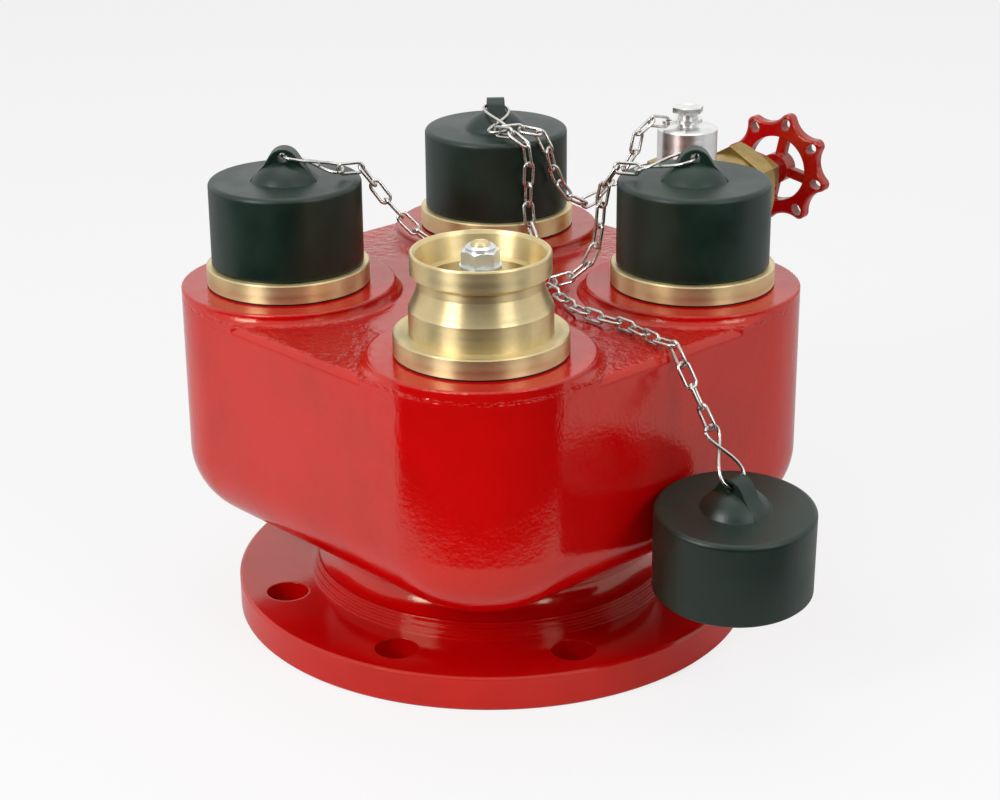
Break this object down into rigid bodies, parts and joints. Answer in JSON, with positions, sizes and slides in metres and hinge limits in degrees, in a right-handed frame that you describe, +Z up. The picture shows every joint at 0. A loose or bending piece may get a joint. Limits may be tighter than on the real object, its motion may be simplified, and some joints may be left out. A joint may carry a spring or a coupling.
{
  "type": "four-way fire breeching inlet",
  "caption": "Fire-service inlet header: hollow red casting on a drilled outlet flange, capped male inlets with sprung non-return valves, chained rubber caps and a drain valve with handwheel.",
  "frame": {"origin": "centre of the outlet flange's face, on the outlet bore's axis", "axes": "+Z up along the outlet bore towards the inlets; +Y towards the drain valve; +X towards the side where the fourth cap hangs"},
  "size_m": [0.3606, 0.4285, 0.258],
  "materials": {
    "red_enamel": "gloss red enamel over cast iron",
    "black_rubber": "matt",
    "zinc_steel": "bright zinc plate",
    "cast_brass": "cast, semi-matt",
    "machined_brass": "turned, satin",
    "wheel_red": "gloss dark red enamel",
    "bright_metal": "satin chrome plate",
    "cap_rubber": "satin dark green-black",
    "chain_steel": "bright zinc-plated wire"
  },
  "bodies": {
    "header": {"header_body": "red_enamel", "outlet_flange": "red_enamel", "inlet_gaskets": "black_rubber", "eye_bolt": "zinc_steel", "loose_ring": "zinc_steel", "drain_elbow": "red_enamel", "drain_valve_body": "cast_brass", "drain_bonnet": "cast_brass", "drain_packing": "black_rubber", "drain_packing_nut": "cast_brass", "coupling_front": "machined_brass", "coupling_right": "machined_brass", "coupling_back": "machined_brass", "coupling_left": "machined_brass", "clack_spring_front": "chain_steel", "clack_spring_right": "chain_steel", "clack_spring_back": "chain_steel", "clack_spring_left": "chain_steel", "chain_left": "chain_steel", "chain_back": "chain_steel", "chain_right": "chain_steel", "chain_deck": "chain_steel", "chain_drain": "chain_steel"},
    "valve_front": {"clack_disc_front": "machined_brass", "clack_seal_front": "black_rubber", "clack_spindle_front": "machined_brass", "clack_nut_front": "zinc_steel"},
    "valve_right": {"clack_disc_right": "machined_brass", "clack_seal_right": "black_rubber", "clack_spindle_right": "machined_brass", "clack_nut_right": "zinc_steel"},
    "valve_back": {"clack_disc_back": "machined_brass", "clack_seal_back": "black_rubber", "clack_spindle_back": "machined_brass", "clack_nut_back": "zinc_steel"},
    "valve_left": {"clack_disc_left": "machined_brass", "clack_seal_left": "black_rubber", "clack_spindle_left": "machined_brass", "clack_nut_left": "zinc_steel"},
    "cap_right": {"cap_right": "cap_rubber", "link_right": "chain_steel"},
    "cap_back": {"cap_back": "cap_rubber", "link_back": "chain_steel"},
    "cap_left": {"cap_left": "cap_rubber", "link_left": "chain_steel"},
    "hung_cap": {"cap_hung": "cap_rubber", "link_hung": "chain_steel", "chain_hung": "chain_steel"},
    "drain_gate": {"drain_disc": "cast_brass"},
    "drain_wheel": {"drain_stem": "zinc_steel", "handwheel": "wheel_red", "handwheel_nut": "zinc_steel"},
    "blank_cap_ring": {"drain_cap_collar": "bright_metal"},
    "blank_cap": {"drain_blank_cap": "bright_metal"}
  },
  "joints": [
    {"name": "valve_front_lift", "type": "slide", "parent": "header", "child": "valve_front", "axis": [0, 0, -1], "range_m": [0, 0.012], "stiffness_N_per_m": 300, "springref_m": -0.012, "deforming": ["clack_spring_front"]},
    {"name": "valve_right_lift", "type": "slide", "parent": "header", "child": "valve_right", "axis": [0, 0, -1], "range_m": [0, 0.012], "stiffness_N_per_m": 300, "springref_m": -0.012, "deforming": ["clack_spring_right"]},
    {"name": "valve_back_lift", "type": "slide", "parent": "header", "child": "valve_back", "axis": [0, 0, -1], "range_m": [0, 0.012], "stiffness_N_per_m": 300, "springref_m": -0.012, "deforming": ["clack_spring_back"]},
    {"name": "valve_left_lift", "type": "slide", "parent": "header", "child": "valve_left", "axis": [0, 0, -1], "range_m": [0, 0.012], "stiffness_N_per_m": 300, "springref_m": -0.012, "deforming": ["clack_spring_left"]},
    {"name": "cap_right_lift", "type": "slide", "parent": "header", "child": "cap_right", "axis": [0, 0, 1], "range_m": [0, 0.06], "deforming": ["chain_right"]},
    {"name": "cap_back_lift", "type": "slide", "parent": "header", "child": "cap_back", "axis": [0, 0, 1], "range_m": [0, 0.06], "deforming": ["chain_back"]},
    {"name": "cap_left_lift", "type": "slide", "parent": "header", "child": "cap_left", "axis": [0, 0, 1], "range_m": [0, 0.06], "deforming": ["chain_left"]},
    {"name": "hung_cap_swing", "type": "hinge", "parent": "header", "child": "hung_cap", "pos_m": [0.1356, -0.0009, 0.1829], "axis": [0, -1, 0], "range_deg": [0, 25]},
    {"name": "drain_disc_travel", "type": "slide", "parent": "header", "child": "drain_gate", "axis": [0.1822, -0.9833, 0], "range_m": [0, 0.0075]},
    {"name": "drain_wheel_turn", "type": "hinge", "parent": "drain_gate", "child": "drain_wheel", "pos_m": [-0.01, 0.167, 0.1875], "axis": [0.1822, -0.9833, 0], "range_deg": [0, 1080]},
    {"name": "blank_cap_rise", "type": "slide", "parent": "header", "child": "blank_cap_ring", "axis": [0, 0, 1], "range_m": [0, 0.014], "deforming": ["chain_drain"]},
    {"name": "blank_cap_turn", "type": "hinge", "parent": "blank_cap_ring", "child": "blank_cap", "pos_m": [-0.01, 0.167, 0.216], "axis": [0, 0, 1], "range_deg": [0, 2520]}
  ],
  "couplings": [
    {"joint": "drain_wheel_turn", "follows": "drain_disc_travel", "rad_per_m": 2513.3},
    {"joint": "blank_cap_turn", "follows": "blank_cap_rise", "rad_per_m": 3141.6}
  ]
}
